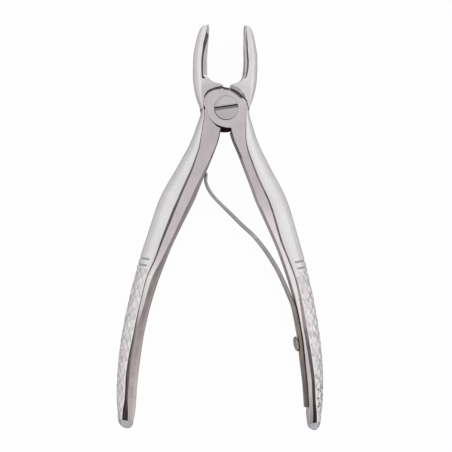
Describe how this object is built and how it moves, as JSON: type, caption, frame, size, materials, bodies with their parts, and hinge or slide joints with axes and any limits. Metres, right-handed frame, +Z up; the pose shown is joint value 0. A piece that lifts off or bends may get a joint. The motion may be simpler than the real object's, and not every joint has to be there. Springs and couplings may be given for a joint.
{
  "type": "extraction forceps",
  "caption": "Children's dental extraction forceps: two crossed steel arms on a slotted pivot screw, straight hollow beaks, bowed rough-gripped handles and a leaf spring that holds them open.",
  "frame": {"origin": "centre of the pivot screw's lower end, on the hinge axis and on the surface on which the forceps lie", "axes": "+Z up along the hinge axis, +Y towards the beaks along the middle line between the arms, +X towards the handle that carries the spring"},
  "size_m": [0.0644, 0.1252, 0.0086],
  "materials": {
    "arm_steel": "satin lands, polished flanks, rough grips",
    "screw_steel": "satin",
    "spring_steel": "satin, darker tempered steel"
  },
  "bodies": {
    "rear": {"rear_arm": "arm_steel", "pivot_screw": "screw_steel"},
    "front": {"front_arm": "arm_steel", "leaf_spring": "spring_steel", "spring_screw": "screw_steel"}
  },
  "joints": [
    {"name": "arm_hinge", "type": "hinge", "parent": "rear", "child": "front", "pos_m": [0, 0, 0.0043], "axis": [0, 0, -1], "range_deg": [0, 20], "stiffness_Nm_per_rad": 0.6, "deforming": ["leaf_spring"]}
  ]
}
